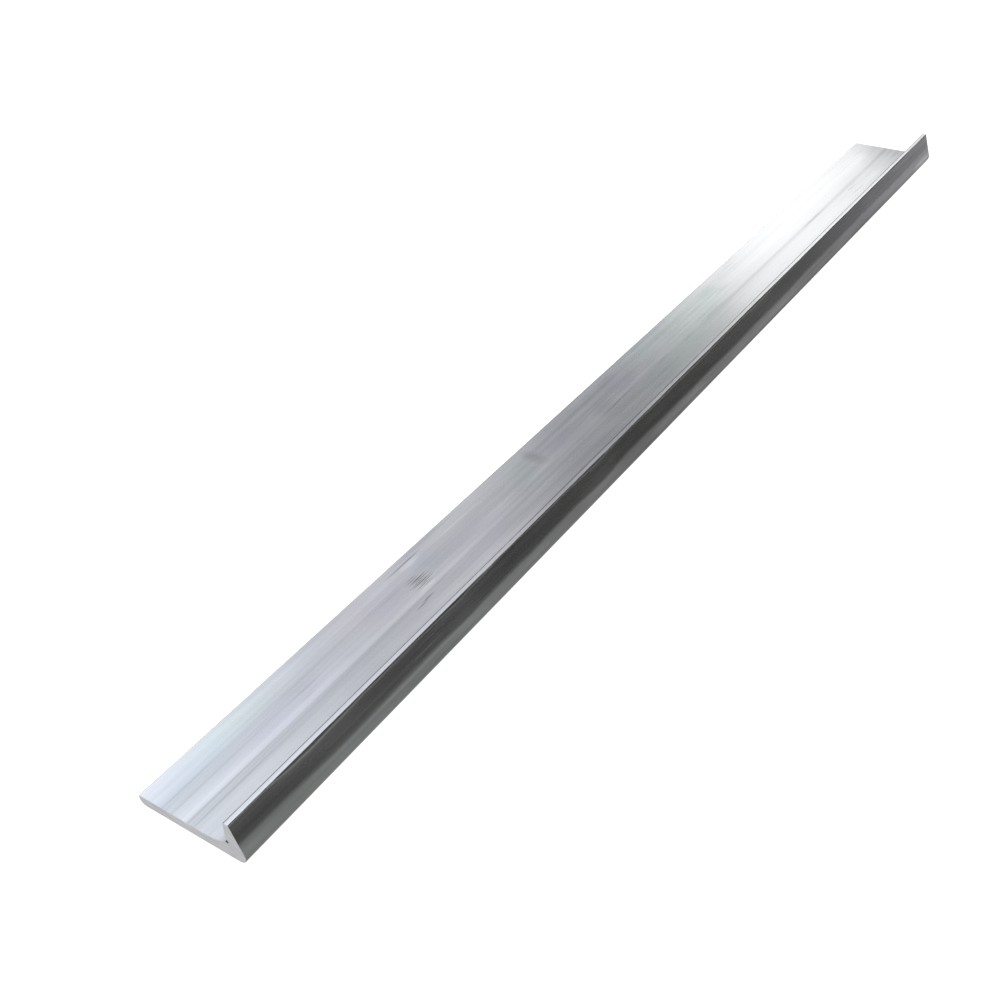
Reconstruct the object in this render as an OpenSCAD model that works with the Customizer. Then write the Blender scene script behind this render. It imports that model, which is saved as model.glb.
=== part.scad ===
// Screed profile: one straight extruded bar with a flat base plate and a lip along one side.
// X runs along the bar, Y across it and Z up. The free edge of the plate is at +Y, the lip at -Y.
// The origin is under the middle of the bar, on the floor that its flat underside rests on.

/* [Bar] */
// Length of the bar between its two sawn ends
bar_length = 1800; // [600:10:3600]
// Overall width, from the free edge to the outermost point of the rounded corner
bar_width = 140; // [120:1:200]

/* [Plate] */
// Thickness of the flat part of the plate
plate_thickness = 12; // [9:0.5:15]
// Radius under the free edge of the plate
free_edge_radius = 8; // [2:0.5:8]

/* [Root] */
// Width of the hollow fillet where the plate runs up to the lip
root_width = 29; // [20:1:40]
// Height that the plate gains over that fillet
root_rise = 10.5; // [4:0.5:12]
// Diameter of the relief groove where the fillet meets the lip
groove_diameter = 6; // [3:0.5:8]

/* [Lip] */
// Height of the lip above the floor
lip_height = 50; // [44:1:75]
// Width of the flat top of the lip
lip_top_width = 6.5; // [4:0.5:9]
// Lean of the outer face over the plate, in degrees from upright
outer_lean = 17; // [5:0.5:25]
// Slope of the inner face, in degrees from upright, which thickens the lip towards its root
inner_slope = 6; // [0.5:0.5:15]
// Radius of the outer corner between the underside and the outer face
corner_radius = 10; // [6:0.5:20]

/* [Finish] */
// Radius that breaks the remaining long edges
edge_break = 0.5; // [0.3:0.1:1]

/* [Hidden] */

// Smoothness of the round stretches
round_steps = 96;

// Where the free edge stands
free_edge_y = bar_width / 2;

// Where the outer face and the underside would meet if the corner were left sharp
sharp_corner_y = -bar_width / 2
    + corner_radius * (1 - cos(outer_lean) - (1 + sin(outer_lean)) * tan(outer_lean));

// The two edges of the lip's flat top
lip_outer_y = sharp_corner_y + lip_height * tan(outer_lean);
lip_inner_y = lip_outer_y + lip_top_width;

// Where the lip's inner face stands at a given height
function inner_face_y(z) = lip_inner_y + (lip_height - z) * tan(inner_slope);

// The line where the fillet meets that face, along which the groove runs
root_z = plate_thickness + root_rise;
root_y = inner_face_y(root_z);

// The line where the fillet leaves the flat of the plate, and the fillet's own radius
fillet_start_y = root_y + root_width;
fillet_radius = (root_width * root_width + root_rise * root_rise) / (2 * root_rise);

// Corners of the section, anticlockwise from the free edge: [y, z, radius]
section_corners = [
    [free_edge_y, 0, free_edge_radius],
    [free_edge_y, plate_thickness, edge_break],
    [fillet_start_y, plate_thickness, 0],
    [root_y, root_z, 0],
    [lip_inner_y, lip_height, edge_break],
    [lip_outer_y, lip_height, edge_break],
    [sharp_corner_y, 0, corner_radius],
];

function point_of(corner) = [corner[0], corner[1]];
function towards(from, to) = (to - from) / norm(to - from);

// The two points where a corner's arc leaves its sides, or the corner itself where it is sharp
function arc_ends(before, corner, after) =
    let (here = point_of(corner),
         back = towards(here, point_of(before)),
         ahead = towards(here, point_of(after)),
         half_angle = acos(back * ahead) / 2,
         setback = corner[2] / tan(half_angle))
    corner[2] == 0 ? [here] : [here + setback * back, here + setback * ahead];

// The centre of a corner's arc
function arc_centre(before, corner, after) =
    let (here = point_of(corner),
         back = towards(here, point_of(before)),
         ahead = towards(here, point_of(after)),
         half_angle = acos(back * ahead) / 2)
    here + corner[2] / sin(half_angle) * towards([0, 0], back + ahead);

// The round cap between a corner's two arc ends, which never reaches past their chord
module arc_cap(before, corner, after) {
    ends = arc_ends(before, corner, after);
    intersection() {
        translate(arc_centre(before, corner, after))
            circle(r = corner[2], $fn = round_steps);
        polygon([ends[0], point_of(corner), ends[1]]);
    }
}

// An outline whose corners are rounded outwards, each by its own radius
module rounded_outline(corners) {
    count = len(corners);
    before = [for (i = [0:count - 1]) corners[(i + count - 1) % count]];
    after = [for (i = [0:count - 1]) corners[(i + 1) % count]];
    polygon([for (i = [0:count - 1]) each arc_ends(before[i], corners[i], after[i])]);
    for (i = [0:count - 1])
        if (corners[i][2] > 0)
            arc_cap(before[i], corners[i], after[i]);
}

// The open space over the plate and its fillet, which ends at the inner face of the lip
module open_space() {
    top_z = lip_height + fillet_radius;
    translate([fillet_start_y, plate_thickness])
        square([bar_width, lip_height]);
    intersection() {
        translate([fillet_start_y, plate_thickness + fillet_radius])
            circle(r = fillet_radius, $fn = 4 * round_steps);
        polygon([
            [inner_face_y(0), 0],
            [free_edge_y, 0],
            [free_edge_y, top_z],
            [inner_face_y(top_z), top_z],
        ]);
    }
}

// The cross-section: Y runs to the right and Z up
module section() {
    difference() {
        difference() {
            rounded_outline(section_corners);
            open_space();
        }
        translate([root_y, root_z])
            circle(d = groove_diameter, $fn = round_steps);
    }
}

module profile() {
    color("silver")
        rotate([90, 0, 90])
            linear_extrude(height = bar_length, center = true)
                section();
}

profile();
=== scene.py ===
# %% [markdown]
# # An extruded aluminium screed profile
#
# A screed profile is the straight edge that levels wet concrete. It is sold as a bar: metal is
# pushed through a steel die, stretched straight, and sawn to length. Two things then make up its
# look. The shape is one cross-section carried along the whole bar, and the surface is the bare
# metal as it left the die, with fine lines that all run along the bar.
#
# The fixed model of the bar comes in first. It says where the bar lies and how large it is, and
# everything below is placed from it.

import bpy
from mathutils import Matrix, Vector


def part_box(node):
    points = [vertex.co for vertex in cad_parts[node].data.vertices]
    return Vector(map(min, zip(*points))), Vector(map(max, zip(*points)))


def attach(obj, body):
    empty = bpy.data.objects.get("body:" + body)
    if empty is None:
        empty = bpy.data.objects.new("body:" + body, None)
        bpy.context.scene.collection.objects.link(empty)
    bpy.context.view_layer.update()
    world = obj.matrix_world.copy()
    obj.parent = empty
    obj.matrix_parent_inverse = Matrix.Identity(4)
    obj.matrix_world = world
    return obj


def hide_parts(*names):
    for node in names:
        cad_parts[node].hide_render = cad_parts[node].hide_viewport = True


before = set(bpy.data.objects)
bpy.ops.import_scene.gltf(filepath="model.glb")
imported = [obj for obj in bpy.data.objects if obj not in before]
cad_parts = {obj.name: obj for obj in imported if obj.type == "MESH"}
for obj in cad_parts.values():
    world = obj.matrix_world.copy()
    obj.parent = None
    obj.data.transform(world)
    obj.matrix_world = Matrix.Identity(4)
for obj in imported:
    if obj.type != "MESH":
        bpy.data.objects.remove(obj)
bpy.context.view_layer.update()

import math

import bmesh
import bpy
from mathutils import Matrix, Vector

low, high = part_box("profile")
bar_length = high.x - low.x
print("the bar is", [round(side, 4) for side in high - low], "m")

# %% [markdown]
# ## The numbers of the cross-section
#
# A die maker works from a drawing of the section in millimetres, so the same numbers are used
# here, with Y across the bar and Z up. The plate is flat underneath. On one side its lower edge
# is rounded, and on the other a lip leans over it, thickening down to a hollow fillet. A small
# round groove runs along the foot of the lip, where a sharp inside corner would crack the die.

# %% Section sizes, in millimetres
MM = 0.001

WIDTH = 140.0
PLATE_THICKNESS = 12.0
FREE_EDGE_RADIUS = 8.0
ROOT_WIDTH = 29.0
ROOT_RISE = 10.5
GROOVE_RADIUS = 3.0
LIP_HEIGHT = 50.0
LIP_TOP_WIDTH = 6.5
OUTER_LEAN = math.radians(17.0)
INNER_SLOPE = math.radians(6.0)
CORNER_RADIUS = 10.0

# %% [markdown]
# The rest follows from those numbers: where the outer face would meet the underside if the corner
# between them were sharp, the two edges of the lip's top, and the radius of the hollow fillet.

# %% Derived sizes
free_edge_y = WIDTH / 2
sharp_corner_y = -WIDTH / 2 + CORNER_RADIUS * (
    1 - math.cos(OUTER_LEAN) - (1 + math.sin(OUTER_LEAN)) * math.tan(OUTER_LEAN))
lip_outer_y = sharp_corner_y + LIP_HEIGHT * math.tan(OUTER_LEAN)
lip_inner_y = lip_outer_y + LIP_TOP_WIDTH
root_z = PLATE_THICKNESS + ROOT_RISE
root_y = lip_inner_y + (LIP_HEIGHT - root_z) * math.tan(INNER_SLOPE)
fillet_y = root_y + ROOT_WIDTH
fillet_radius = (ROOT_WIDTH ** 2 + ROOT_RISE ** 2) / (2 * ROOT_RISE)
print("lip top from", round(lip_outer_y, 2), "to", round(lip_inner_y, 2), "mm")
print("fillet from", round(root_y, 2), "to", round(fillet_y, 2), "mm")

# %% [markdown]
# ## A pen that draws the section
#
# The outline could be typed in as a list of a hundred points, but then nobody could see or change
# the radii in it. Instead one vertex is carried round like a pen. `extrude_vert_indiv` draws a
# straight run and `spin` draws a true arc, so each radius is exact. Every edge that the pen draws
# keeps the number of its run in a layer, which later says where a finish changes.

# %% The runs of the outline
RUNS = ("underside", "edge round", "edge face", "edge arris", "plate", "fillet", "groove",
        "lip inside", "inner arris", "lip top", "die line", "outer arris", "lip outside",
        "big round")


def here(y, z):
    """A point of the section, given in millimetres, in the plane of the near end."""
    return Vector((low.x, y * MM, z * MM))


def name_run(bm, run):
    """Gives the edges drawn since the last call the number of this run, counted from 1."""
    layer = bm.edges.layers.int["run"]
    for edge in bm.edges:
        if edge[layer] == 0:
            edge[layer] = RUNS.index(run) + 1


print("the outline has", len(RUNS), "runs")


# %% Straight runs and arcs
def straight_to(bm, tip, y, z, run):
    """Draws a straight run to a point and returns the pen's new tip."""
    tip = bmesh.ops.extrude_vert_indiv(bm, verts=[tip])["verts"][0]
    tip.co = here(y, z)
    name_run(bm, run)
    return tip


def arc_about(bm, tip, y, z, sweep, steps, run):
    """Swings the pen about a point by an angle, positive from Y towards Z."""
    made = bmesh.ops.spin(bm, geom=[tip], cent=here(y, z), axis=(1, 0, 0), angle=sweep,
                          steps=steps, use_duplicate=False)
    name_run(bm, run)
    return [v for v in made["geom_last"] if isinstance(v, bmesh.types.BMVert)][0]


print("the pen draws straight runs and arcs")


# %% [markdown]
# Most corners of the section are a straight run that ends in an arc. A drawing gives the sharp
# corner and the radius, so one helper works out where the arc begins and about which point it
# turns, and calls the two above.

# %% Rounded corners
def round_corner(bm, tip, corner, after, radius, steps, runs):
    """Draws straight towards a corner, then round it by a radius, as two named runs."""
    corner, after = here(*corner), here(*after)
    back, ahead = (tip.co - corner).normalized(), (after - corner).normalized()
    half = back.angle(ahead) / 2
    start = corner + back * radius * MM / math.tan(half)
    centre = corner + (back + ahead).normalized() * radius * MM / math.sin(half)
    tip = straight_to(bm, tip, start.y / MM, start.z / MM, runs[0])
    return arc_about(bm, tip, centre.y / MM, centre.z / MM, math.pi - 2 * half, steps, runs[1])


print("the pen rounds corners too")

# %% [markdown]
# ## Drawing the plate and the root
#
# The pen starts on the flat underside and goes round with the metal on its left. The arrises, the
# long edges where two faces meet, come out of a die very slightly round. That roundness is what
# catches the light or a shadow along them, so they are drawn as small arcs and not left sharp.

# %% Draw the plate, the fillet and the groove
ARRIS_RADIUS, ARRIS_STEPS = 0.8, 6
FREE_EDGE_STEPS, FILLET_STEPS, GROOVE_STEPS = 16, 14, 26

bar = bmesh.new()
bar.edges.layers.int.new("run")
tip = bmesh.ops.create_vert(bar, co=here(0, 0))["vert"][0]

tip = round_corner(bar, tip, (free_edge_y, 0), (free_edge_y, PLATE_THICKNESS),
                   FREE_EDGE_RADIUS, FREE_EDGE_STEPS, ("underside", "edge round"))
tip = round_corner(bar, tip, (free_edge_y, PLATE_THICKNESS), (0, PLATE_THICKNESS),
                   ARRIS_RADIUS, ARRIS_STEPS, ("edge face", "edge arris"))
tip = straight_to(bar, tip, fillet_y, PLATE_THICKNESS, "plate")

groove_cut = 2 * math.asin(GROOVE_RADIUS / 2 / fillet_radius)
fillet_sweep = math.asin(ROOT_WIDTH / fillet_radius) - groove_cut
tip = arc_about(bar, tip, fillet_y, PLATE_THICKNESS + fillet_radius, -fillet_sweep,
                FILLET_STEPS, "fillet")
groove_start = math.atan2(tip.co.z / MM - root_z, tip.co.y / MM - root_y)
groove_sweep = groove_start + math.radians(270) - INNER_SLOPE
tip = arc_about(bar, tip, root_y, root_z, -groove_sweep, GROOVE_STEPS, "groove")
print("plate, fillet and groove take", len(bar.edges), "edges")

# %% [markdown]
# ## Drawing the lip
#
# The die leaves one hair-thin line along the top of the lip. It is a real scratch in the metal, so
# it is drawn as a shallow notch, and the finish only darkens it a little, as painted shade in the
# notch. The outer face comes down to the big round corner, and the pen ends where it started.

# %% Draw the lip and close the outline
DIE_LINE_FROM_INSIDE = 3.1
DIE_LINE_WIDTH = 0.6
DIE_LINE_DEPTH = 0.3
OUTER_ARRIS_RADIUS = 0.6
CORNER_STEPS = 28
SAME_POINT = 1e-7

tip = round_corner(bar, tip, (lip_inner_y, LIP_HEIGHT), (lip_outer_y, LIP_HEIGHT),
                   ARRIS_RADIUS, ARRIS_STEPS, ("lip inside", "inner arris"))
die_line_y = lip_inner_y - DIE_LINE_FROM_INSIDE
tip = straight_to(bar, tip, die_line_y, LIP_HEIGHT, "lip top")
tip = straight_to(bar, tip, die_line_y - DIE_LINE_WIDTH / 2, LIP_HEIGHT - DIE_LINE_DEPTH,
                  "die line")
tip = straight_to(bar, tip, die_line_y - DIE_LINE_WIDTH, LIP_HEIGHT, "die line")
tip = round_corner(bar, tip, (lip_outer_y, LIP_HEIGHT), (sharp_corner_y, 0),
                   OUTER_ARRIS_RADIUS, ARRIS_STEPS, ("lip top", "outer arris"))
tip = round_corner(bar, tip, (sharp_corner_y, 0), (0, 0),
                   CORNER_RADIUS, CORNER_STEPS, ("lip outside", "big round"))
tip = straight_to(bar, tip, 0, 0, "underside")
bmesh.ops.remove_doubles(bar, verts=bar.verts[:], dist=SAME_POINT)
print("the closed outline has", len(bar.verts), "points and", len(bar.edges), "edges")

# %% [markdown]
# ## From outline to bar
#
# Filling the outline gives the end face, and extruding that face along X gives the bar, just as
# the press does. The extrusion stops short of the full length by the width of a rim at each end,
# which the step after next puts back.

# %% Fill and extrude
RIM = 0.6 * MM

end_face = bmesh.ops.edgeloop_fill(bar, edges=bar.edges[:])["faces"][0]
bmesh.ops.translate(bar, verts=bar.verts[:], vec=(RIM, 0, 0))
made = bmesh.ops.extrude_face_region(bar, geom=[end_face], use_keep_orig=True)
far_verts = [part for part in made["geom"] if isinstance(part, bmesh.types.BMVert)]
bmesh.ops.translate(bar, verts=far_verts, vec=(bar_length - 2 * RIM, 0, 0))
bmesh.ops.recalc_face_normals(bar, faces=bar.faces[:])
ends = [face for face in bar.faces if abs(face.normal.x) > 0.99]
sides = [face for face in bar.faces if abs(face.normal.x) < 0.01]
print(len(sides), "faces run along the bar, and", len(ends), "close its ends")

# %% [markdown]
# ## Which finish goes where
#
# Seven finishes meet on this bar: the top of the plate, the underside, the groove, the two faces
# of the lip, its narrow top, the arrises, and the sawn ends. Each long face looks up the run that
# its edge was drawn in. The edges between two runs are marked sharp, so that a broad flat face
# isn't shaded as if it bulged towards the small arc beside it.

# %% Look up the run of a face
FINISHES = ("plate", "underside", "groove", "lip", "lip top", "arris", "sawn")
FINISH_OF_RUN = {"underside": "underside", "edge round": "underside", "edge face": "underside",
                 "edge arris": "arris", "plate": "plate", "fillet": "plate", "groove": "groove",
                 "lip inside": "lip", "inner arris": "arris", "lip top": "lip top",
                 "die line": "lip top", "outer arris": "arris", "lip outside": "lip",
                 "big round": "lip"}

run_layer = bar.edges.layers.int["run"]


def lies_across(edge):
    """Whether an edge lies in a plane across the bar, as the drawn outline does."""
    return abs(edge.verts[0].co.x - edge.verts[1].co.x) < MM


def run_of(face):
    """The name of the run that a long face was drawn in."""
    return RUNS[max(edge[run_layer] for edge in face.edges if lies_across(edge)) - 1]


print("the bar has", len(FINISHES), "finishes")

# %% Give finishes and sharp edges
for face in sides:
    face.material_index = FINISHES.index(FINISH_OF_RUN[run_of(face)])
    face.smooth = True
for edge in {edge for face in sides for edge in face.edges}:
    runs = {run_of(face) for face in edge.link_faces if face in sides}
    edge.smooth = not lies_across(edge) and len(runs) == 1 and "die line" not in runs
print(sum(not edge.smooth for edge in bar.edges), "edges are sharp")

# %% [markdown]
# ## The rim of a sawn end
#
# A saw leaves a sharp rim, and whoever cuts the bar takes it off with a file. Insetting each end
# face and pushing it out by the same amount makes that narrow slope, which shows as a bright line
# round the end.
#
# The extrusion lists its new faces in an order that can change from run to run. Sorting them by
# place makes the mesh the same each time.

# %% File the rims
DECIMALS = 6

for face in ends:
    face.material_index = FINISHES.index("sawn")
    rim = bmesh.ops.inset_region(bar, faces=[face], thickness=RIM, depth=RIM, use_even_offset=True)
    for rim_face in rim["faces"]:
        rim_face.material_index = FINISHES.index("sawn")
        rim_face.smooth = False
by_place = sorted(bar.faces, key=lambda face: face.calc_center_median().to_tuple(DECIMALS))
bar.faces.sort(key={face: rank for rank, face in enumerate(by_place)}.get)

mesh = bpy.data.meshes.new("screed_bar")
bar.to_mesh(mesh)
bar.free()
screed_bar = bpy.data.objects.new("screed_bar", mesh)
bpy.context.scene.collection.objects.link(screed_bar)
print("screed_bar has", len(mesh.polygons), "faces")

# %% [markdown]
# ## Helpers for a finish
#
# Every finish on the bar is a pattern laid in the bar's own coordinates, in metres, so it belongs
# to the metal and stays where it is from every side. The first helpers make a material with plain
# values, set or link a socket, give the coordinates, moved to a place and scaled, and give one of
# them alone.

# %% Material, socket and place
def new_finish(name, base_color, roughness, metallic=1.0):
    """A material with a Principled shader set to plain values."""
    material = bpy.data.materials.new(name)
    material.use_nodes = True
    shader = material.node_tree.nodes["Principled BSDF"]
    shader.inputs["Base Color"].default_value = (*base_color, 1)
    shader.inputs["Roughness"].default_value = roughness
    shader.inputs["Metallic"].default_value = metallic
    return material, material.node_tree, shader


def feed(tree, socket, value):
    """Links a socket to another one, or sets it to a number."""
    if isinstance(value, bpy.types.NodeSocket):
        tree.links.new(value, socket)
    else:
        socket.default_value = value


def place(tree, scale=(1, 1, 1), origin=(0, 0, 0)):
    """The bar's own coordinates, counted from an origin and then scaled."""
    coordinates = tree.nodes.new("ShaderNodeTexCoord")
    mapping = tree.nodes.new("ShaderNodeMapping")
    mapping.inputs["Scale"].default_value = scale
    mapping.inputs["Location"].default_value = [-s * o for s, o in zip(scale, origin)]
    tree.links.new(coordinates.outputs["Object"], mapping.inputs["Vector"])
    return mapping.outputs["Vector"]


def coordinate(tree, axis):
    """One of the bar's own coordinates, in metres."""
    split = tree.nodes.new("ShaderNodeSeparateXYZ")
    tree.links.new(place(tree), split.inputs[0])
    return split.outputs[axis]


print("helpers for materials are ready")


# %% [markdown]
# The next ones are the patterns. Noise that is squeezed across the bar and stretched along it
# turns into lines, and the same noise left nearly round gives clouds. A spot is a soft oval that
# is 1 in the middle and 0 at its rim, for a mark with a place of its own.

# %% Patterns
def noise(tree, along, across, detail=2.0, seed=0.0):
    """Noise with this many features per metre along the bar and across it, from 0 to 1."""
    node = tree.nodes.new("ShaderNodeTexNoise")
    vector = place(tree, (along, across, across), (seed / along, seed / across, seed / across))
    tree.links.new(vector, node.inputs["Vector"])
    node.inputs["Scale"].default_value = 1.0
    node.inputs["Detail"].default_value = detail
    return node.outputs["Fac"]


def spot(tree, centre, size):
    """A soft oval about a point, with its full length, width and height in metres."""
    node = tree.nodes.new("ShaderNodeTexGradient")
    node.gradient_type = "SPHERICAL"
    tree.links.new(place(tree, [2 / side for side in size], centre), node.inputs["Vector"])
    return node.outputs["Fac"]


print("helpers for patterns are ready")


# %% [markdown]
# The last helpers do sums with patterns: carry one range of values over to another, add or
# multiply, look a value up in a list of stops, and blend two colours. Noise could be anything from
# 0 to 1, but it seldom leaves the middle of that range, so most sums start from the middle part.

# %% Sums with patterns
NOISE_LOW, NOISE_HIGH = 0.3, 0.7


def remap(tree, value, low, high, to_low, to_high, smooth=False):
    """Carries low..high over to to_low..to_high, and holds the ends."""
    node = tree.nodes.new("ShaderNodeMapRange")
    node.interpolation_type = "SMOOTHSTEP" if smooth else "LINEAR"
    feed(tree, node.inputs["Value"], value)
    for socket, number in zip(("From Min", "From Max", "To Min", "To Max"),
                              (low, high, to_low, to_high)):
        node.inputs[socket].default_value = number
    return node.outputs["Result"]


def vary(tree, pattern, to_low, to_high):
    """Carries the range that noise mostly keeps to over to to_low..to_high."""
    return remap(tree, pattern, NOISE_LOW, NOISE_HIGH, to_low, to_high)


def calculate(tree, operation, *values):
    """Adds, multiplies or otherwise joins several values, one after the other."""
    total = values[0]
    for value in values[1:]:
        node = tree.nodes.new("ShaderNodeMath")
        node.operation = operation
        feed(tree, node.inputs[0], total)
        feed(tree, node.inputs[1], value)
        total = node.outputs["Value"]
    return total


print("helpers for sums are ready")


# %% Stops and colours
def opaque(value):
    """Gives a colour its fourth number, and leaves a socket as it is."""
    return (*value, 1) if isinstance(value, tuple) else value


def ramp(tree, value, stops):
    """Looks a value from 0 to 1 up in (position, colour or grey) stops."""
    node = tree.nodes.new("ShaderNodeValToRGB")
    elements = node.color_ramp.elements
    elements.remove(elements[1])
    elements[0].position = stops[0][0]
    for position, _ in stops[1:]:
        elements.new(position)
    for element, (_, colour) in zip(elements, stops):
        element.color = opaque(colour if isinstance(colour, tuple) else (colour,) * 3)
    tree.links.new(value, node.inputs["Fac"])
    return node.outputs["Color"]


# A Mix node has sockets for several kinds of value: these are the ones for colours.
COLOUR_A, COLOUR_B, COLOUR_OUT = 6, 7, 2


def blend(tree, amount, first, second, way="MIX"):
    """Blends a second colour into a first one by an amount from 0 to 1."""
    node = tree.nodes.new("ShaderNodeMix")
    node.data_type, node.blend_type = "RGBA", way
    feed(tree, node.inputs[0], amount)
    feed(tree, node.inputs[COLOUR_A], opaque(first))
    feed(tree, node.inputs[COLOUR_B], opaque(second))
    return node.outputs[COLOUR_OUT]


def lighten(tree, colour, amount):
    """A colour made lighter or darker by an amount that is 1 where it stays as it is."""
    node = tree.nodes.new("ShaderNodeVectorMath")
    node.operation = "SCALE"
    tree.links.new(colour, node.inputs[0])
    feed(tree, node.inputs["Scale"], amount)
    return node.outputs["Vector"]


print("helpers for colours are ready")


# %% Fine relief
def raise_surface(tree, shader, height, relief):
    """Bends the light as if a pattern from 0 to 1 stood up by this many millimetres."""
    bump = tree.nodes.new("ShaderNodeBump")
    bump.inputs["Distance"].default_value = relief * MM
    tree.links.new(height, bump.inputs["Height"])
    tree.links.new(bump.outputs["Normal"], shader.inputs["Normal"])


print("the helper for fine relief is ready")

# %% [markdown]
# ## The grain of drawn metal
#
# Everything that happens to the metal in the die happens along one direction. The die's polish
# leaves fine lines, specks that stick in it drag longer streaks, and the metal flows a little
# faster in the middle of a thick place, which leaves broad pale and dark bands. Only the clouds
# that come from cooling and from the hands are as wide as they are long.
#
# One function makes these four, and every drawn face uses it, so they belong together.

# %% Grain
def grain(tree):
    """The lightness of the drawn metal, near 1, and the patterns that other sums need."""
    lines = noise(tree, along=1.6, across=560, detail=2.0, seed=3.1)
    streaks = noise(tree, along=4.5, across=170, detail=2.0, seed=7.7)
    bands = noise(tree, along=0.8, across=42, detail=1.0, seed=1.3)
    clouds = noise(tree, along=7, across=15, detail=2.0, seed=4.9)
    amount = calculate(tree, "MULTIPLY", vary(tree, lines, 0.98, 1.02),
                       vary(tree, streaks, 0.945, 1.055), vary(tree, bands, 0.96, 1.04),
                       vary(tree, clouds, 0.95, 1.05))
    return amount, streaks, bands, clouds


print("the grain has fine lines, streaks, bands and clouds")


# %% [markdown]
# Short dark drags come and go: a speck sticks in the die, scratches for a few centimetres and
# breaks off. Noise stretched along the bar and cut off high leaves only its thin tops, and a
# slower noise lets them come in groups.

# %% Drags
def drags(tree):
    """How much short scratches darken the metal: 0 for none, 1 for the deepest."""
    scratches = noise(tree, along=14, across=360, detail=1.0, seed=5.3)
    groups = noise(tree, along=5, across=22, detail=1.0, seed=2.6)
    return calculate(tree, "MULTIPLY", remap(tree, scratches, 0.60, 0.76, 0, 1),
                     remap(tree, groups, 0.48, 0.66, 0, 1))


print("drags come in groups")


# %% [markdown]
# ## Lightness across a face
#
# The same place in the die always leaves the same band on the bar, so the lightness across a face
# is a fixed list of places and amounts. It is looked up by Y on a lying face and by Z on an
# upright one. The place wanders by a millimetre or so along the bar, since the metal creeps
# sideways in the die.

# %% Across
SPAN = 0.14


def across(tree, side, pattern, reach):
    """The place across a face, from 0 to 1 over a span about the middle, wandering slightly."""
    wander = vary(tree, pattern, -reach * MM, reach * MM)
    wandered = calculate(tree, "ADD", coordinate(tree, side), wander)
    return remap(tree, wandered, -SPAN / 2, SPAN / 2, 0, 1)


def stops_across(pairs):
    """Stops for a ramp from (place in millimetres, amount) pairs."""
    return [((mm * MM + SPAN / 2) / SPAN, amount) for mm, amount in pairs]


print("a face is looked up over", SPAN, "m")


# %% [markdown]
# ## The drawn metal itself
#
# Mill-finish aluminium mirrors its surroundings, but its lines smear that mirror out across the
# bar and hardly at all along it. A plain rough metal smears both ways alike and looks like grey
# paint. The Principled shader has this built in as anisotropy, whose direction comes from a radial
# tangent about X, so the smear always lies across the grain.
#
# The faces differ in a few things only: their colour, the list of duller places across them, their
# roughness, how deep the drags are, how far the bands wander, by what pattern, and whether some
# place is rubbed dull.

# %% Roughness of drawn metal
EVEN = [(-70, 0.0), (70, 0.0)]
SMEAR = 0.75
RUBBED_DULL = 0.2


def drawn_roughness(tree, base, dull_places, streaks, clouds, scratches, rubbed):
    """Roughness about a base: duller in places, in drags and where a spot is rubbed."""
    terms = [dull_places, vary(tree, clouds, base - 0.03, base + 0.03),
             vary(tree, streaks, -0.02, 0.02), remap(tree, scratches, 0, 1, 0, 0.12)]
    if rubbed:
        terms.append(remap(tree, spot(tree, *rubbed), 0, 0.7, 0, RUBBED_DULL, smooth=True))
    return calculate(tree, "ADD", *terms)


print("roughness has a base, clouds, streaks, drags and dull places")


# %% Drawn metal
def drawn_metal(name, colour_of, side, dull, roughness, drag_depth=0.16, reach=1.2, relief=0.012,
                ragged=False, rubbed=None):
    """Bare drawn metal. colour_of(tree, amount, place across, streaks) gives its colour."""
    material, tree, shader = new_finish(name, (0.86, 0.87, 0.89), roughness)
    amount, streaks, bands, clouds = grain(tree)
    position = across(tree, side, clouds if ragged else bands, reach)
    scratches = drags(tree)
    amount = calculate(tree, "MULTIPLY", amount, remap(tree, scratches, 0, 1, 1, 1 - drag_depth))
    tree.links.new(colour_of(tree, amount, position, streaks), shader.inputs["Base Color"])

    dull_places = ramp(tree, position, stops_across(dull))
    uneven = drawn_roughness(tree, roughness, dull_places, streaks, clouds, scratches, rubbed)
    tree.links.new(uneven, shader.inputs["Roughness"])

    shader.inputs["Anisotropic"].default_value = SMEAR
    along_grain = tree.nodes.new("ShaderNodeTangent")
    along_grain.direction_type, along_grain.axis = "RADIAL", "X"
    tree.links.new(along_grain.outputs["Tangent"], shader.inputs["Tangent"])

    raise_surface(tree, shader, calculate(tree, "SUBTRACT", streaks, scratches), relief)
    return material


print("the drawn metal is ready to be made")

# %% [markdown]
# ## Bands along the plate
#
# The bands on top of the plate change slowly along the bar, as the die warmed up while this bar
# went through it. They are kept as three lists, for three places along the bar, and blended
# between them. The strongest is a step near the middle of the plate, over the place where the root
# begins to draw metal away. Near the free edge the near and far lists also paint a bright strip
# and then a darker rim: a painted highlight and painted shade of the rounded edge.

# %% Bands of the plate
# Near the free edge: a painted highlight, then painted shade at the rim.
NEAR_BANDS = [(-40, 0.90), (-17, 0.89), (-5, 0.86), (-1, 0.80), (2, 0.83), (4, 0.81), (6, 0.94),
              (7.5, 1.0), (10, 1.0), (16, 0.95), (22, 0.91), (31, 0.89), (38, 0.90), (44, 0.95),
              (50, 1.0), (60, 1.06), (65, 1.06), (67.5, 1.12), (69, 1.12), (70, 0.90)]
MIDDLE_BANDS = [(-40, 0.84), (-17, 0.84), (-5, 0.88), (8, 0.89), (12, 0.85), (14.5, 0.86),
                (18, 0.90), (25, 0.925), (50, 0.98), (60, 1.02), (66, 1.06), (70, 1.04)]
FAR_BANDS = [(-40, 0.90), (-20, 0.90), (-14, 0.95), (-8, 0.98), (-3, 0.98), (2, 0.97),
             (6, 0.91), (8.8, 0.81), (11.2, 0.83), (13.8, 0.96), (18, 1.0), (30, 1.01),
             (45, 1.04), (60, 1.05), (65, 1.01), (66.5, 1.07), (68.5, 1.07), (69.2, 0.9),
             (70, 0.84)]


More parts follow.
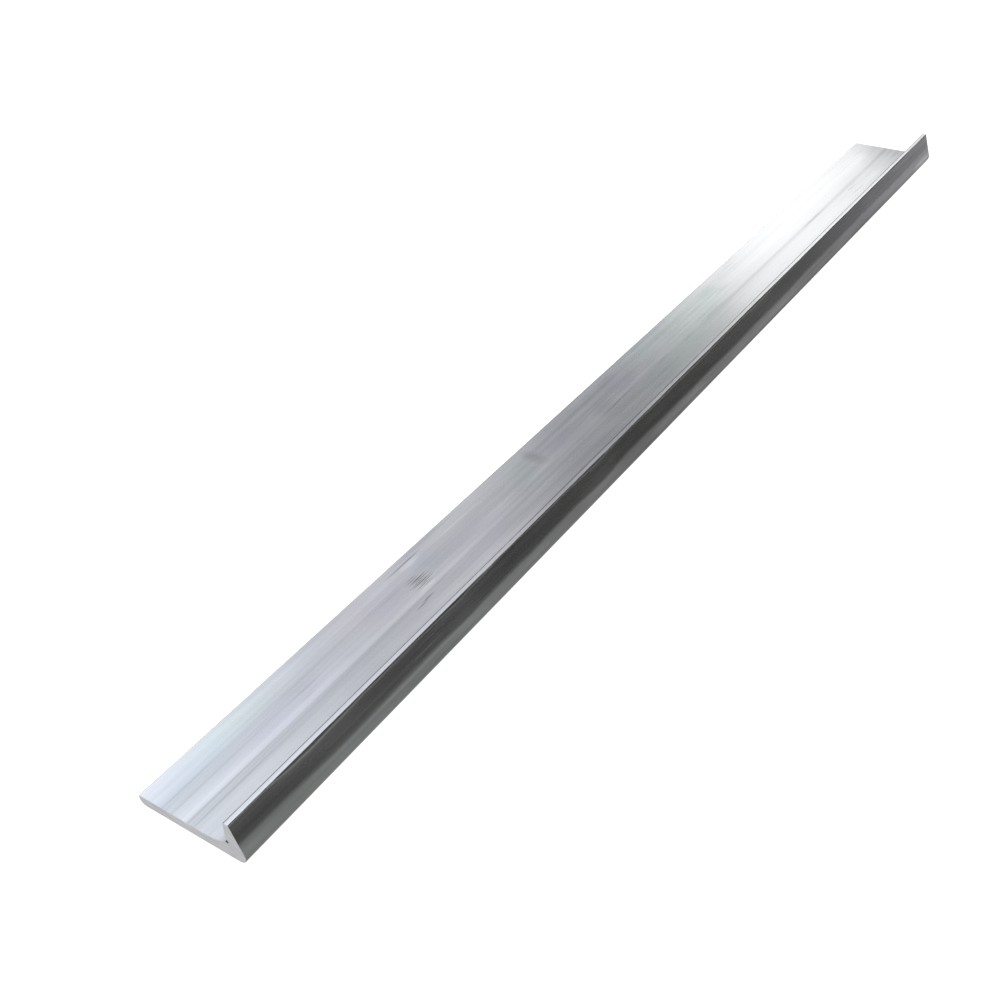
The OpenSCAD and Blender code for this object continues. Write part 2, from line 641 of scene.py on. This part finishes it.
def bands_along(tree, position, first, *later):
    """The lightness of bands that change along the bar, from x to x into each later list."""
    along = coordinate(tree, "X")
    lightness = ramp(tree, position, stops_across(first))
    for start, end, bands in later:
        amount = remap(tree, along, start, end, 0, 1, smooth=True)
        lightness = blend(tree, amount, lightness, ramp(tree, position, stops_across(bands)))
    return lightness


PLATE_BANDS = (NEAR_BANDS, (-0.55, -0.25, MIDDLE_BANDS), (0.05, 0.32, FAR_BANDS))
print("the plate has bands at", len(PLATE_BANDS), "places along it")

# %% [markdown]
# ## Marks on the plate
#
# Bars are stacked, strapped and slid over each other. That leaves single marks: a group of short
# rubs where another bar's corner chattered along this one, a few longer ones, and pale places
# where a hand or a strap has polished the skin. Each is a soft oval, with its place, its length,
# its width and how much it changes the lightness, all multiplied by the streaks so that its rim is
# ragged.

# %% Single marks: x and y, length and width in millimetres, and change of lightness
MARKS = [
    (-868, 38.5, 150, 4.0, -0.11), (-855, 26, 190, 4.4, -0.10), (-872, 4.5, 240, 4.6, -0.12),
    (-850, -3.8, 200, 4.6, -0.13), (-700, 37.5, 90, 2.4, -0.10), (-560, 36, 60, 1.6, -0.10),
    (-508, 59, 60, 3.2, -0.40), (-486, 59, 40, 3.0, -0.34), (-458, 66, 150, 10, -0.14),
    (-545, -3.2, 26, 2.6, -0.34), (-532, -1.0, 28, 2.6, -0.42), (-496, 53, 40, 12, 0.14),
    (-516, 12, 36, 6, 0.16), (-273, 20, 80, 4.5, 0.20), (-248, 44, 26, 48, -0.18),
    (-385, 2, 150, 18, -0.06), (-105, 22, 60, 36, -0.08), (-72, 15, 60, 2.8, -0.20),
    (44, 14.6, 44, 2.6, -0.22), (206, 14.2, 110, 2.8, -0.18), (562, 9.8, 110, 5.0, -0.20),
    (-410, 52, 120, 3.0, 0.10), (-370, 22, 110, 12, 0.08), (-100, 14.5, 60, 3.0, -0.16),
    (925, -20, 300, 150, -0.30), (915, 30, 150, 130, -0.16), (-390, -12, 330, 90, 0.16),
    (95, -12, 330, 100, -0.10),
]

CHATTER = [
    (-517, 35.5, 26, 1.9, -0.32), (-519, 32.4, 30, 1.9, -0.40), (-513, 29.2, 38, 1.9, -0.72),
    (-511, 26.8, 40, 1.9, -0.66), (-519, 24.4, 36, 1.9, -0.62), (-513, 22.0, 42, 2.0, -0.95),
    (-507, 19.6, 34, 1.9, -0.62), (-517, 17.2, 34, 1.9, -0.56), (-511, 14.8, 26, 1.9, -0.40),
    (-503, 28.0, 24, 1.5, 0.26), (-523, 25.6, 22, 1.5, 0.28), (-508, 20.8, 30, 1.5, 0.34),
    (-502, 18.4, 26, 1.5, 0.28), (-515, 16.0, 20, 1.5, 0.24),
]
MARKS += CHATTER
print("the plate has", len(MARKS), "single marks")


# %% Lay the marks
MARK_HEIGHT = 20


def oval_on_plate(tree, x, y, length, width, height):
    """A soft oval about a point on top of the plate, all in millimetres."""
    return spot(tree, (x * MM, y * MM, PLATE_THICKNESS * MM),
                (length * MM, width * MM, height * MM))


def with_marks(tree, amount, streaks):
    """Changes the lightness of the plate's top at each mark."""
    ragged = remap(tree, streaks, 0.35, 0.65, 0.7, 1.3)
    for x, y, length, width, change in MARKS:
        oval = oval_on_plate(tree, x, y, length, width, MARK_HEIGHT)
        depth = calculate(tree, "MULTIPLY", remap(tree, oval, 0, 0.7, 0, change), ragged)
        amount = calculate(tree, "MULTIPLY", amount, calculate(tree, "ADD", 1.0, depth))
    return amount


print("marks are multiplied in one after the other")

# %% [markdown]
# ## The sheen of the skin
#
# Bare aluminium grows a clear skin, and where oil was burnt into it by the hot press the skin
# shows faint colours, like those of a soap bubble: greenish, bluish, violet or warm. They are very
# weak. A base colour that is a little blue is multiplied by wide soft ovals of the other tints.

# %% Sheen: x and y, length and width in millimetres, and the tint
BARE = (0.872, 0.880, 0.892)
GREENISH, DEEP_GREEN = (0.945, 1.0, 0.97), (0.88, 0.955, 0.93)
VIOLET, WARM, BLUISH = (0.97, 0.96, 1.0), (1.0, 0.97, 0.965), (0.93, 0.965, 1.0)
SHEEN = [
    (-860, 45, 200, 60, BLUISH), (-760, 20, 240, 60, VIOLET), (-790, 55, 160, 50, GREENISH),
    (-600, 52, 110, 90, WARM), (-565, 38, 110, 60, VIOLET), (-484, 43, 60, 60, BLUISH),
    (-285, 40, 80, 110, GREENISH), (-205, 45, 110, 70, VIOLET), (-40, 42, 90, 90, VIOLET),
    (55, 54, 150, 70, GREENISH), (180, 35, 240, 110, GREENISH), (250, 48, 70, 36, DEEP_GREEN),
    (70, 0, 300, 70, GREENISH), (-420, 10, 200, 90, VIOLET),
]
SHEEN_HEIGHT = 60


def plate_colour(tree, amount, position, streaks):
    """The colour of the top of the plate."""
    colour = blend(tree, 1.0, bands_along(tree, position, *PLATE_BANDS), BARE, "MULTIPLY")
    for x, y, length, width, tint in SHEEN:
        oval = oval_on_plate(tree, x, y, length, width, SHEEN_HEIGHT)
        amount_of_tint = remap(tree, oval, 0, 0.85, 0, 1, smooth=True)
        colour = blend(tree, amount_of_tint, colour, tint, "MULTIPLY")
    return lighten(tree, colour, with_marks(tree, amount, streaks))


plate_metal = drawn_metal("plate_metal", plate_colour, "Y", EVEN, roughness=0.26)
print("plate_metal has", len(plate_metal.node_tree.nodes), "nodes")

# %% [markdown]
# ## The underside
#
# The underside is the working face. It is as plain as the top, but it ran over the rollers of the
# press, so it is a little duller and more streaked.

# %% Underside
def plain_colour(bare, *bands):
    """A colour for a drawn face that has bands but no marks of its own."""
    def colour(tree, amount, position, streaks):
        banded = blend(tree, 1.0, bands_along(tree, position, *bands), bare, "MULTIPLY")
        return lighten(tree, banded, amount)
    return colour


UNDERSIDE_BANDS = [(-70, 0.94), (-48, 0.97), (-44, 0.90), (-30, 0.95), (0, 0.98), (18, 0.93),
                   (24, 0.99), (55, 0.95), (70, 0.98)]
UNDERSIDE_DULL = [(-70, 0.06), (-30, 0.03), (30, 0.05), (70, 0.06)]

underside_metal = drawn_metal("underside_metal", plain_colour(BARE, UNDERSIDE_BANDS), "Y",
                              UNDERSIDE_DULL, roughness=0.29, drag_depth=0.22)
print("underside_metal has", len(underside_metal.node_tree.nodes), "nodes")

# %% [markdown]
# ## The faces of the lip
# The outer face mirrors what lies in front of the bar, close to the floor, and so looks dark. Its
# lower part comes over the worn side of the die and is duller, with a soft edge at about half
# height, and a duller strip lies just under the top. Roughness does part of this: a dull metal
# gathers light from further round and so looks paler here. The rest is painted light: the bands by
# height also make the lower part and the strip under the top paler, as a painted reflection of the
# ground near the bar, and draw a dark line of painted shade along the top edge. Roughness does
# this: a dull metal gathers
# light from further round and so looks paler here.
#
# Like the plate it has bands, here by height, in three lists for three places along the bar. The
# skin is a little colder in tint towards the far end, where the lower part is also rubbed dull and
# pale, as by a sling.

# %% Numbers of the lip: height in millimetres, and lightness or roughness
NEAR_LIP, FAR_LIP = (0.885, 0.89, 0.86), (0.885, 0.885, 0.895)
COLDER_FROM, COLDER_TO = 0.2, 0.55
# In these lists the paler lower part and the pale strip under the top are painted reflection, and
# the dark top edge is painted shade.
LIP_BANDS = [(0, 0.97), (22, 0.97), (27.5, 0.86), (46.6, 0.86), (47.6, 0.97), (48.5, 0.97),
             (49.3, 0.68), (50, 0.6)]
MIDDLE_LIP_BANDS = [(0, 1.07), (22, 1.07), (27, 0.86), (46.6, 0.86), (47.6, 0.98), (48.5, 0.98),
                    (49.3, 0.68), (50, 0.6)]
FAR_LIP_BANDS = [(0, 0.86), (18, 0.95), (25, 0.96), (29, 0.90), (47.0, 0.90), (47.6, 0.35),
                 (50, 0.35)]
LIP_DULL = [(0, 0.18), (22, 0.17), (27.5, 0.0), (46.6, 0.0), (47.6, 0.12), (48.5, 0.12),
            (49.3, 0.0), (50, 0.0)]
ALL_LIP_BANDS = (LIP_BANDS, (-0.75, -0.45, MIDDLE_LIP_BANDS), (0.25, 0.5, FAR_LIP_BANDS))

RUBBED_HEIGHT, RUBBED_BACK = 13, 11.3
RUBBED = ((866 * MM, (lip_outer_y - RUBBED_BACK) * MM, RUBBED_HEIGHT * MM),
          (110 * MM, 40 * MM, 20 * MM))
RUBBED_LIGHTER = 0.25
print("the lip has bands at", len(ALL_LIP_BANDS), "places along it")


# %% Lip
def lip_colour(tree, amount, position, streaks):
    """Bands, a colder tint towards the far end, and a rubbed patch low down there."""
    colder = remap(tree, coordinate(tree, "X"), COLDER_FROM, COLDER_TO, 0, 1)
    colour = blend(tree, 1.0, bands_along(tree, position, *ALL_LIP_BANDS),
                   blend(tree, colder, NEAR_LIP, FAR_LIP), "MULTIPLY")
    patch = remap(tree, spot(tree, *RUBBED), 0, 0.8, 0, RUBBED_LIGHTER, smooth=True)
    patch = calculate(tree, "ADD", 1.0, patch)
    return lighten(tree, colour, calculate(tree, "MULTIPLY", amount, patch))


lip_metal = drawn_metal("lip_metal", lip_colour, "Z", LIP_DULL, roughness=0.26, drag_depth=0.2,
                        reach=2.2, relief=0.006, ragged=True, rubbed=RUBBED)
print("lip_metal has", len(lip_metal.node_tree.nodes), "nodes")

# %% [markdown]
# ## The top of the lip and the groove
#
# The top of the lip is the brightest strip of the bar, since hands and clamps keep it polished. It
# is darker about the middle of the bar. The die line shows faintly in it, darkened a little with
# painted shade, with a bright strip on either side, and a dark strip of painted shade lies along
# its inner edge, where the top turns down to the inside face.

# %% Bands of the lip's top
lip_edge_y = lip_inner_y - ARRIS_RADIUS
before_line, after_line = die_line_y - 0.9, die_line_y + 0.8

# The dip at the die line and the dark last millimetre at the inner edge are painted shade.
NEAR_TOP_BANDS = [(lip_outer_y, 1.0), (before_line, 1.0), (die_line_y, 0.88), (after_line, 0.96),
                  (lip_edge_y - 0.6, 0.97), (lip_edge_y - 0.2, 0.35), (lip_edge_y, 0.12)]
MIDDLE_TOP_BANDS = [(lip_outer_y, 0.84), (before_line, 0.84), (die_line_y, 0.76),
                    (after_line, 0.84), (lip_edge_y - 0.9, 0.84), (lip_edge_y - 0.4, 0.28),
                    (lip_edge_y, 0.10)]
FAR_TOP_BANDS = [(lip_outer_y, 1.0), (before_line, 1.0), (die_line_y, 0.93), (after_line, 1.0),
                 (lip_edge_y - 0.9, 0.98), (lip_edge_y - 0.4, 0.25), (lip_edge_y, 0.08)]
TOP_BANDS = (NEAR_TOP_BANDS, (-0.50, -0.28, MIDDLE_TOP_BANDS), (0.02, 0.28, FAR_TOP_BANDS))
print("the lip's top has bands at", len(TOP_BANDS), "places along it")

# %% Lip top
POLISHED = (1.0, 1.0, 1.0)
TOP_DULL = [(-70, 0.04), (70, 0.04)]

lip_top_metal = drawn_metal("lip_top_metal", plain_colour(POLISHED, *TOP_BANDS), "Y",
                            TOP_DULL, roughness=0.27, drag_depth=0.1, reach=0.1, relief=0.01)
print("lip_top_metal has", len(lip_top_metal.node_tree.nodes), "nodes")

# %% [markdown]
# The inside of the groove is never rubbed, so it still mirrors sharply. Only its bottom is painted
# dark, as painted shade deep in the groove, which is one more soft oval, drawn out so long that it
# is even along the whole bar.

# %% Groove
# Painted shade along the bottom of the groove.
GROOVE_SHADE = (0.12, 0.12, 0.13)
GROOVE_SHADE_CENTRE = (0, (root_y + 0.4) * MM, (root_z - 3.1) * MM)
GROOVE_SHADE_SIZE = (8 * bar_length, 4.6 * MM, 4.6 * MM)


def groove_colour(tree, amount, position, streaks):
    """Bright metal with a dark line of painted shade along the bottom."""
    shaded = remap(tree, spot(tree, GROOVE_SHADE_CENTRE, GROOVE_SHADE_SIZE), 0, 0.4, 0, 1)
    return lighten(tree, blend(tree, shaded, POLISHED, GROOVE_SHADE), amount)


groove_metal = drawn_metal("groove_metal", groove_colour, "Y", EVEN, roughness=0.12, reach=0.1)
print("groove_metal has", len(groove_metal.node_tree.nodes), "nodes")

# %% [markdown]
# ## The arrises
#
# The arrises are painted dark, a line of painted shade along each edge, broken by bright metal
# here and there. It is thin, but it draws the outline of the bar.

# %% Arrises
# Painted shade along the arrises, with patches of bare metal.
ARRIS_SHADE, ARRIS_BARE = (0.13, 0.13, 0.145), (0.55, 0.55, 0.55)


def arris_finish():
    """A thin dark line of painted shade, broken by bright metal here and there."""
    material, tree, shader = new_finish("arris_metal", (0.3, 0.3, 0.31), 0.45)
    patches = noise(tree, along=26, across=40, detail=3.0, seed=6.1)
    bare_patches = remap(tree, patches, 0.52, 0.70, 0, 1, smooth=True)
    tree.links.new(blend(tree, bare_patches, ARRIS_SHADE, ARRIS_BARE), shader.inputs["Base Color"])
    tree.links.new(remap(tree, bare_patches, 0, 1, 0.5, 0.34), shader.inputs["Roughness"])
    raise_surface(tree, shader, noise(tree, along=60, across=160, detail=2.0, seed=8.8), 0.03)
    return material


arris_metal = arris_finish()
print("arris_metal has", len(arris_metal.node_tree.nodes), "nodes")

# %% [markdown]
# ## The sawn ends
#
# A circular saw leaves shallow arcs, all about the point where its blade turned. A wave texture
# with rings about X makes them, with its centre moved below the bar by the radius of the blade,
# and a little distortion, since the blade chatters. Left at its own scale of 1 such a texture has
# about three rings in a metre, so its scale is counted from that. The cut face is matt and even.

# %% Sawn ends
BLADE_CENTRE = (0, 90 * MM, -210 * MM)
RINGS_PER_METRE = 120
RINGS_AT_SCALE_1 = 20 / (2 * math.pi)
SAWN_DARK, SAWN_PALE = (0.79, 0.79, 0.81), (0.86, 0.86, 0.87)


def sawn_finish():
    """Matt cut metal with the arcs of the saw in it."""
    material, tree, shader = new_finish("sawn_metal", (0.86, 0.86, 0.865), 0.62)
    arcs = tree.nodes.new("ShaderNodeTexWave")
    arcs.wave_type, arcs.rings_direction = "RINGS", "X"
    arcs.inputs["Scale"].default_value = RINGS_PER_METRE / RINGS_AT_SCALE_1
    arcs.inputs["Distortion"].default_value = 1.5
    arcs.inputs["Detail"].default_value = 2.0
    tree.links.new(place(tree, origin=BLADE_CENTRE), arcs.inputs["Vector"])
    clouds = noise(tree, along=60, across=60, detail=3.0, seed=2.2)
    amount = calculate(tree, "MULTIPLY", remap(tree, arcs.outputs["Fac"], 0, 1, 0.96, 1.02),
                       vary(tree, clouds, 0.95, 1.03))
    bare = ramp(tree, clouds, [(0.0, SAWN_DARK), (1.0, SAWN_PALE)])
    tree.links.new(lighten(tree, bare, amount), shader.inputs["Base Color"])
    tree.links.new(vary(tree, clouds, 0.55, 0.66), shader.inputs["Roughness"])
    raise_surface(tree, shader, arcs.outputs["Fac"], 0.03)
    return material


sawn_metal = sawn_finish()
print("sawn_metal has", len(sawn_metal.node_tree.nodes), "nodes")

# %% Put the finishes on the bar
for material in (plate_metal, underside_metal, groove_metal, lip_metal, lip_top_metal, arris_metal,
                 sawn_metal):
    mesh.materials.append(material)

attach(screed_bar, "root")
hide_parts("profile")
print("screed_bar has", len(mesh.materials), "materials")

# %% [markdown]
# ## Floor
#
# The bar lies on a plain white sheet. A wide disc at the height of the underside is the sheet. Its
# material gives off some light of its own, so that it stays white out to the horizon and only a
# breath of shadow is left where the bar touches it. It is open from below, so that the underside
# can be looked at, and the metal doesn't mirror it: what the metal mirrors is set in the world.

# %% Disc
FLOOR_RADIUS = 40.0
FLOOR_CORNERS = 64

floor_mesh = bpy.data.meshes.new("floor")
disc = bmesh.new()
bmesh.ops.create_circle(disc, cap_ends=True, segments=FLOOR_CORNERS,
                        radius=FLOOR_RADIUS)
disc.to_mesh(floor_mesh)
disc.free()
floor = bpy.data.objects.new("floor", floor_mesh)
bpy.context.scene.collection.objects.link(floor)
floor.visible_glossy = False
print("the floor has a radius of", FLOOR_RADIUS, "m")

# %% White sheet
OWN_LIGHT = 0.75

white_sheet, tree, shader = new_finish("white_sheet", (0.9, 0.9, 0.9), 1.0, 0.0)
shader.inputs["Specular IOR Level"].default_value = 0.0
shader.inputs["Emission Color"].default_value = (1, 1, 1, 1)
shader.inputs["Emission Strength"].default_value = OWN_LIGHT
side = tree.nodes.new("ShaderNodeNewGeometry")
clear = tree.nodes.new("ShaderNodeBsdfTransparent")
choice = tree.nodes.new("ShaderNodeMixShader")
tree.links.new(side.outputs["Backfacing"], choice.inputs["Fac"])
tree.links.new(shader.outputs["BSDF"], choice.inputs[1])
tree.links.new(clear.outputs["BSDF"], choice.inputs[2])
tree.links.new(choice.outputs["Shader"], tree.nodes["Material Output"].inputs["Surface"])
floor_mesh.materials.append(white_sheet)
print("the sheet is white from above and clear from below")

# %% [markdown]
# ## What the metal mirrors
#
# Bare metal has no colour of its own to show: it shows the room. So the room matters more here
# than any lamp. A long bar mirrors a different direction at each place along it, so a change of
# the room along X becomes a change of tone along the bar: a bright window beyond its far end, a
# darker stretch of wall before that, and soft daylight over the near end.
#
# Two ramps by X hold those tones, one for directions above the horizon and one for directions
# below it, where the dark foot of the room makes the outer face of the lip dark.

# %% Tones of the room along X, from -1 to 1
OVERHEAD = [
    (-1.0, 0.5), (-0.3, (0.7, 0.72, 0.75)), (0.0, (0.92, 0.97, 1.04)), (0.33, (0.91, 0.96, 1.04)),
    (0.40, (0.76, 0.80, 0.86)), (0.466, (0.645, 0.665, 0.72)), (0.52, (0.60, 0.60, 0.66)),
    (0.566, (0.575, 0.575, 0.61)), (0.608, (0.59, 0.585, 0.615)), (0.645, (0.475, 0.475, 0.50)),
    (0.68, (0.345, 0.345, 0.37)), (0.71, (0.28, 0.282, 0.305)), (0.735, (0.28, 0.285, 0.305)),
    (0.758, (0.355, 0.364, 0.374)), (0.78, (0.50, 0.52, 0.525)), (0.797, (0.69, 0.705, 0.71)),
    (0.812, 1.14), (0.829, 1.36), (0.85, 1.30), (0.864, 1.20), (0.874, 1.05), (0.884, 0.80),
    (0.92, 0.66), (1.0, 0.6),
]
FLOORWARD = [
    (-1.0, 0.85), (-0.1, 0.70), (0.1, 0.25), (0.3, 0.055), (0.78, (0.05, 0.052, 0.05)),
    (0.825, (0.083, 0.083, 0.085)), (0.863, (0.128, 0.128, 0.134)), (0.90, (0.235, 0.235, 0.244)),
    (0.93, 0.6), (0.96, 0.9), (1.0, 1.0),
]
print("the room has", len(OVERHEAD), "tones overhead and", len(FLOORWARD), "below the horizon")

# %% [markdown]
# The horizon isn't level: in front of the bar the dark foot of the room reaches higher than behind
# it. The ground is pale behind the bar, and a plain darker grey straight down, which is what the
# underside mirrors. The camera itself doesn't see this room but plain white, with the Light Path
# node, so that the picture has a plain background on every side.

# %% Where the tones meet, by the Y and Z of a direction
HORIZON_Y, HORIZON_Z = (-0.6, 0.2), (0.22, 0.02)
HORIZON_SOFTNESS = 0.2
STRAIGHT_DOWN_Z = (-0.75, -0.42)
BEHIND_Y, BEHIND_Z = (0.0, 0.4), (0.1, 0.3)
GROUND_BELOW, GROUND_BEHIND = (0.2, 0.2, 0.19), (0.66, 0.66, 0.66)
PLAIN_WHITE = (1.0, 1.0, 1.0)
print("the horizon falls from", HORIZON_Z[0], "to", HORIZON_Z[1])

# %% World
world = bpy.data.worlds.new("studio")
world.use_nodes = True
bpy.context.scene.world = world
tree = world.node_tree
direction = tree.nodes.new("ShaderNodeTexCoord")
split = tree.nodes.new("ShaderNodeSeparateXYZ")
tree.links.new(direction.outputs["Generated"], split.inputs[0])
direction_x, direction_y, direction_z = (split.outputs[axis] for axis in "XYZ")

along = remap(tree, direction_x, -1, 1, 0, 1)
overhead = ramp(tree, along, [((x + 1) / 2, tone) for x, tone in OVERHEAD])
floorward = ramp(tree, along, [((x + 1) / 2, tone) for x, tone in FLOORWARD])
steep = remap(tree, direction_z, *STRAIGHT_DOWN_Z, 1, 0, smooth=True)
floorward = blend(tree, steep, floorward, GROUND_BELOW)
behind = calculate(tree, "MULTIPLY", remap(tree, direction_y, *BEHIND_Y, 0, 1, smooth=True),
                   remap(tree, direction_z, *BEHIND_Z, 1, 0, smooth=True))
floorward = blend(tree, behind, floorward, GROUND_BEHIND)

horizon = remap(tree, direction_y, *HORIZON_Y, *HORIZON_Z)
above = remap(tree, calculate(tree, "SUBTRACT", direction_z, horizon), 0.0, HORIZON_SOFTNESS,
              0, 1, smooth=True)
room = blend(tree, above, floorward, overhead)
ray = tree.nodes.new("ShaderNodeLightPath")
tree.links.new(blend(tree, ray.outputs["Is Camera Ray"], room, PLAIN_WHITE),
               tree.nodes["Background"].inputs["Color"])
print("the world has", len(tree.nodes), "nodes")

# %% [markdown]
# ## Camera
#
# The camera stands at about the height of a person who bends over the near end, and looks along
# the bar and down at it. The lens is a little shifted instead of turned, which keeps the bar in
# its place in the frame.

# %% Camera
LENS_MM = 44.38
LENS_SHIFT = (-0.0301, 0.0402)
STAND = (-1.3034, -0.6997, 0.9247)
TURN, LOOK_DOWN, ROLL = math.radians(-54.322), math.radians(39.099), math.radians(-3.805)

lens = bpy.data.cameras.new("camera")
lens.lens = LENS_MM
lens.shift_x, lens.shift_y = LENS_SHIFT
camera = bpy.data.objects.new("camera", lens)
camera.matrix_world = (Matrix.Translation(STAND) @ Matrix.Rotation(TURN, 4, "Z")
                       @ Matrix.Rotation(math.pi / 2 - LOOK_DOWN, 4, "X")
                       @ Matrix.Rotation(ROLL, 4, "Z"))
bpy.context.scene.collection.objects.link(camera)
bpy.context.scene.camera = camera
bpy.context.scene.view_settings.view_transform = "Standard"
print("the camera stands", STAND[2], "m above the sheet, behind a lens of", LENS_MM, "mm")
